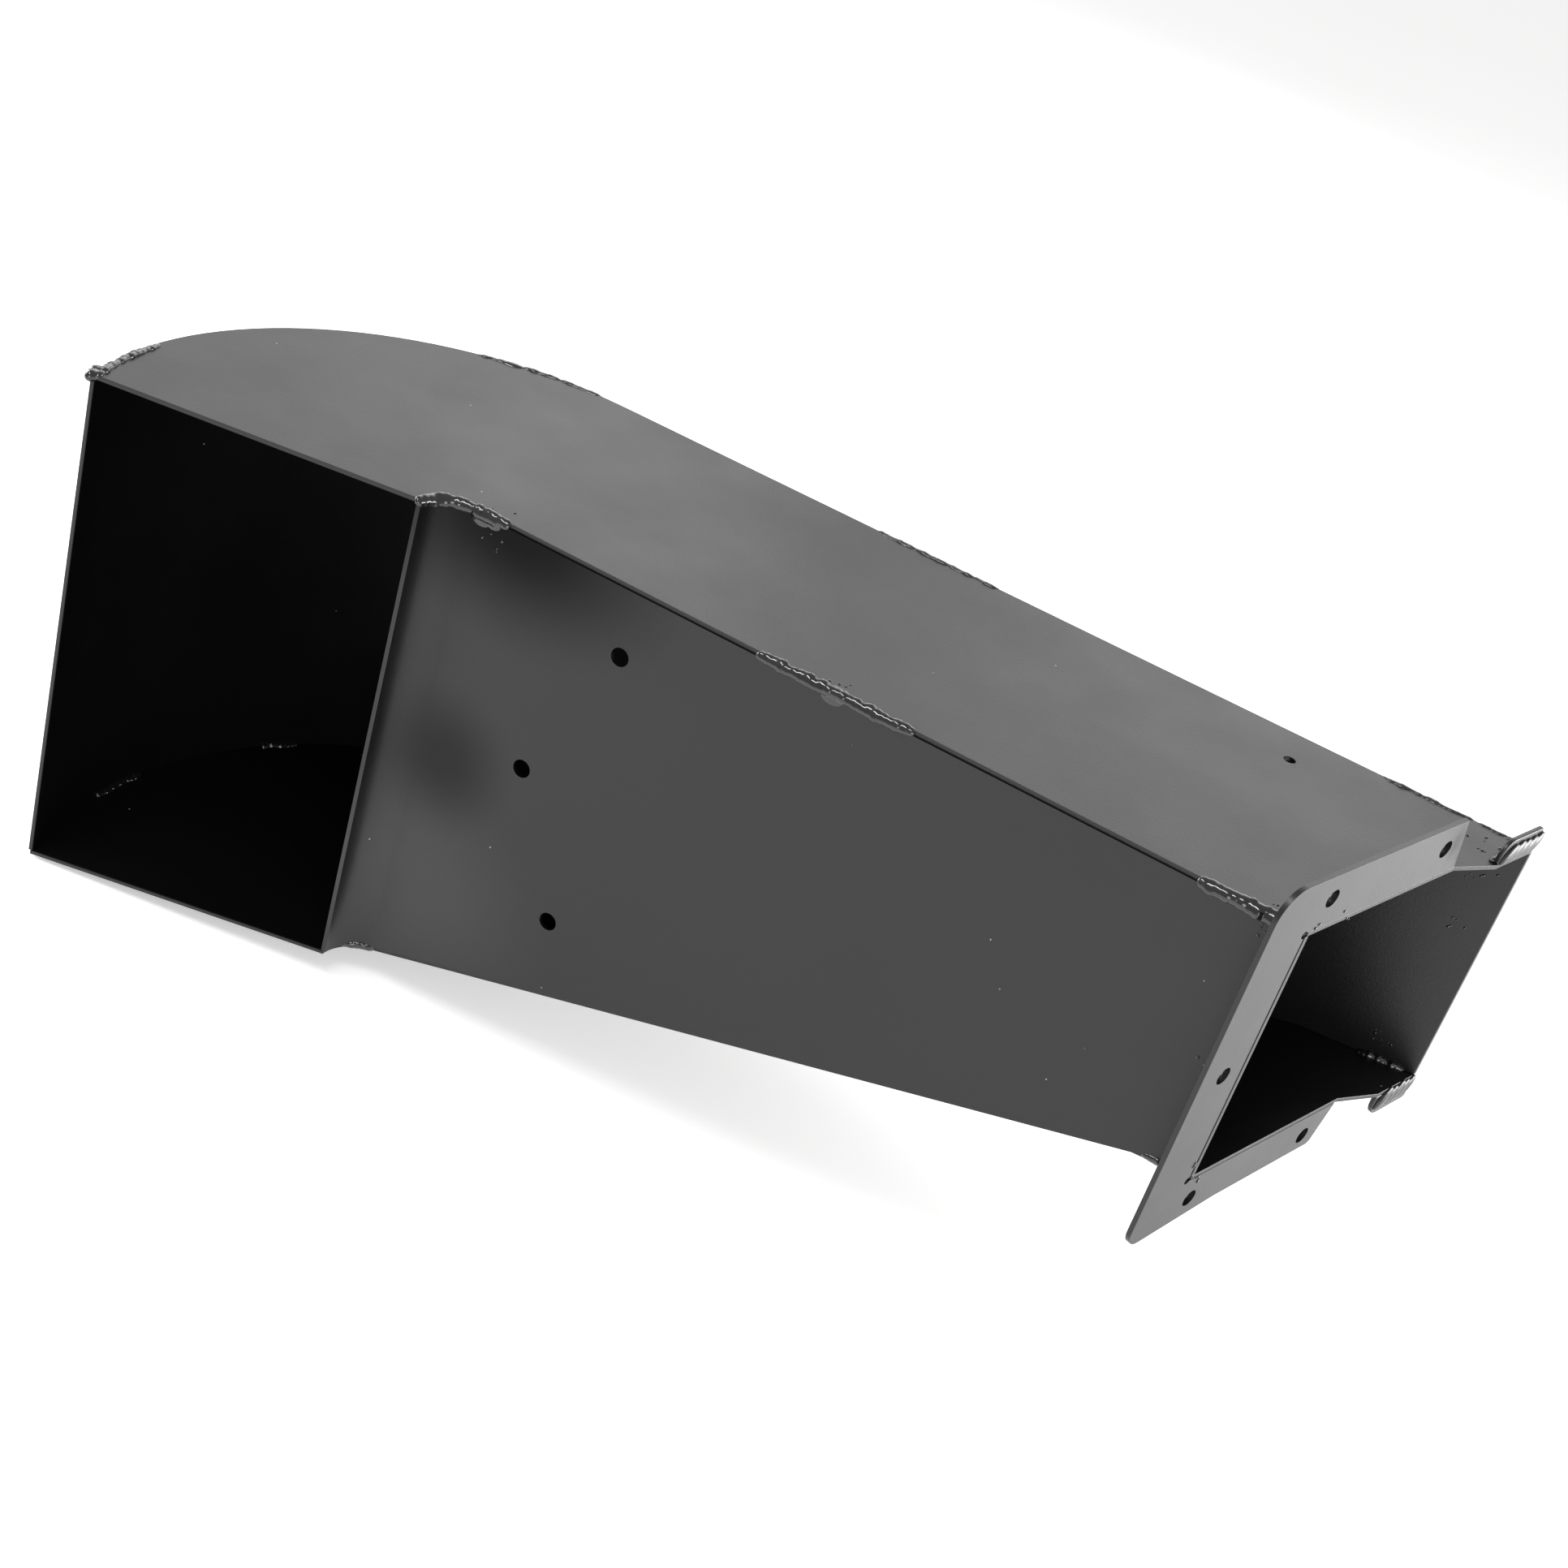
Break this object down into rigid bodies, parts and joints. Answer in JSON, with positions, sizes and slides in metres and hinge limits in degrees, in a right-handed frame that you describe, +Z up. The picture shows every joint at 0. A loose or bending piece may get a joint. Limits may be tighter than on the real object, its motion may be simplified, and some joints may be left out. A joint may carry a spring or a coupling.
{
  "type": "discharge chute",
  "caption": "Welded sheet-steel box chute with a side inlet, a curved outer wall, a tapering run and an oblique bolted outlet flange.",
  "frame": {"origin": "centre of the outlet flange's four corner holes, on the flange's outer face", "axes": "+X out of the outlet along the flange's normal, +Y along the flange from the near wall to the far wall, +Z up"},
  "size_m": [0.7, 0.4838, 0.3539],
  "materials": {
    "coated_sheet": "satin black powder coat on sheet steel",
    "coated_plate": "satin black powder coat on flat bar",
    "coated_weld": "glossy black powder coat over weld bead"
  },
  "bodies": {
    "root": {"top_plate": "coated_sheet", "bottom_plate": "coated_sheet", "near_side_wall": "coated_sheet", "far_side_wall": "coated_sheet", "outlet_flange": "coated_plate", "upper_outlet_tab": "coated_plate", "lower_outlet_tab": "coated_plate", "weld_top_near_inlet": "coated_weld", "weld_top_near_middle": "coated_weld", "weld_top_near_outlet": "coated_weld", "weld_top_far_inlet": "coated_weld", "weld_top_far_arc": "coated_weld", "weld_top_far_middle": "coated_weld", "weld_top_far_outlet": "coated_weld", "weld_top_far_ear": "coated_weld", "weld_bottom_near_inlet": "coated_weld", "weld_bottom_near_outlet": "coated_weld", "weld_inside_inlet_arc": "coated_weld", "weld_inside_back_arc": "coated_weld", "weld_inside_outlet": "coated_weld", "weld_flange_side_upper": "coated_weld", "weld_flange_side_lower": "coated_weld", "weld_flange_top": "coated_weld", "weld_upper_tab": "coated_weld", "weld_lower_tab": "coated_weld"}
  },
  "joints": []
}
